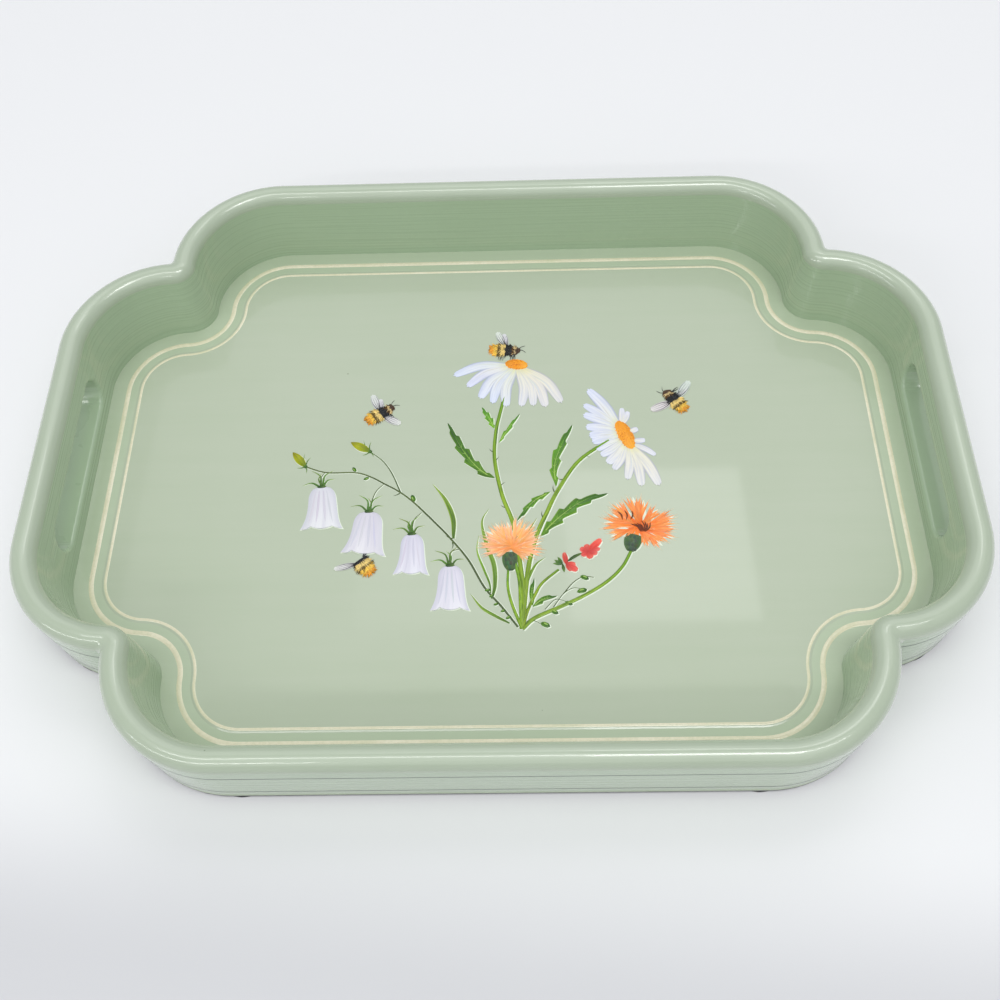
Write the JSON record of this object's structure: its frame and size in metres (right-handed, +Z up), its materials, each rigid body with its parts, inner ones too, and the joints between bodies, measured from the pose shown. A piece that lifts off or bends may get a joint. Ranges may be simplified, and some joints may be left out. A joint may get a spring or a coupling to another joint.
{
  "type": "figured lacquered serving tray",
  "caption": "Lacquered board serving tray with a lobed outline, high leaning walls, a rounded rim, a hand slot in each end and felt pads under a flat floor.",
  "frame": {"origin": "on the surface that the tray stands on, under the centre of the tray", "axes": "+X along the tray from hand slot to hand slot, +Y to the back long side, +Z up"},
  "size_m": [0.45, 0.3326, 0.0486],
  "materials": {
    "floor_lacquer": "pale sage gloss lacquer over a painted board, with a painted spray of wild flowers inside two cream lines",
    "wall_lacquer": "sage gloss lacquer over stacked board",
    "felt": "black pressed felt"
  },
  "bodies": {
    "root": {"floor_panel": "floor_lacquer", "wall_foot_ring": "wall_lacquer", "wall_slot_ring": "wall_lacquer", "wall_rim_ring": "wall_lacquer", "felt_pad_front_left_side": "felt", "felt_pad_front_right_side": "felt", "felt_pad_back_left_side": "felt", "felt_pad_back_right_side": "felt", "felt_pad_front_left_end": "felt", "felt_pad_front_right_end": "felt", "felt_pad_back_left_end": "felt", "felt_pad_back_right_end": "felt"}
  },
  "joints": []
}
